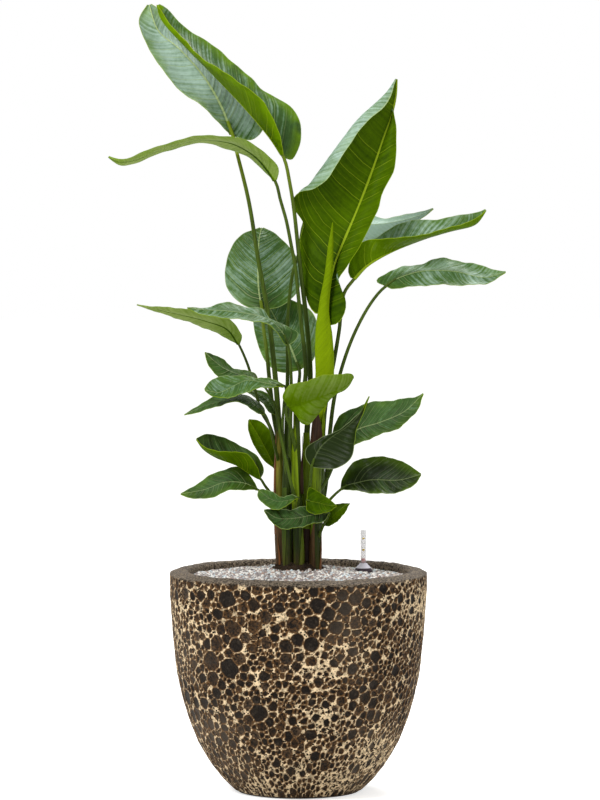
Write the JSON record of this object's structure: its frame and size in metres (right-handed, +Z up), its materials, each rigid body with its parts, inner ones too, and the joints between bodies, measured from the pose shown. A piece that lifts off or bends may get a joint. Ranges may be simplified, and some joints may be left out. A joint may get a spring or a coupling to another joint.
{
  "type": "potted bird of paradise",
  "caption": "Bird of paradise house plant: long-stalked paddle leaves in a clump, in a round cratered ceramic pot topped with pale gravel, with a water gauge.",
  "frame": {"origin": "centre of the pot's flat base, on the surface it stands on", "axes": "+Z up along the pot's axis; -Y towards the side that the picture shows; +X to the right of that view"},
  "size_m": [0.6586, 0.43, 1.3156],
  "materials": {
    "lava_ceramic": "matt, cratered, with a cream net between dark craters",
    "clay_granules": "matt",
    "planting_mix": "matt",
    "pale_gravel": "matt",
    "clear_plastic": "clear",
    "bell_plastic": "clear, tinted",
    "dark_plastic": "satin",
    "red_plastic": "satin",
    "shoot_skin": "satin",
    "leaf_skin": "waxy",
    "young_leaf_skin": "waxy"
  },
  "bodies": {
    "root": {"pot": "lava_ceramic", "drainage_layer": "clay_granules", "substrate": "planting_mix", "root_ball": "planting_mix", "gravel": "pale_gravel", "gauge_sleeve": "dark_plastic", "gauge_bell": "bell_plastic", "gauge_tube": "clear_plastic", "gauge_float": "red_plastic", "shoot_a": "shoot_skin", "shoot_b": "shoot_skin", "shoot_c": "shoot_skin", "shoot_d": "shoot_skin", "shoot_e": "shoot_skin", "shoot_f": "shoot_skin", "shoot_g": "shoot_skin", "shoot_h": "shoot_skin", "leaf_01": "leaf_skin", "leaf_02": "leaf_skin", "leaf_03": "leaf_skin", "leaf_04": "leaf_skin", "leaf_05": "young_leaf_skin", "leaf_06": "leaf_skin", "leaf_07": "leaf_skin", "leaf_08": "leaf_skin", "leaf_09": "leaf_skin", "leaf_10": "leaf_skin", "leaf_11": "leaf_skin", "leaf_12": "leaf_skin", "leaf_13": "leaf_skin", "leaf_14": "leaf_skin", "leaf_15": "leaf_skin", "leaf_16": "leaf_skin", "leaf_17": "leaf_skin", "leaf_18": "leaf_skin", "leaf_19": "leaf_skin", "leaf_20": "leaf_skin", "leaf_21": "leaf_skin", "leaf_22": "leaf_skin", "leaf_23": "leaf_skin", "leaf_24": "leaf_skin", "leaf_25": "leaf_skin", "leaf_26": "leaf_skin", "leaf_27": "leaf_skin"}
  },
  "joints": []
}
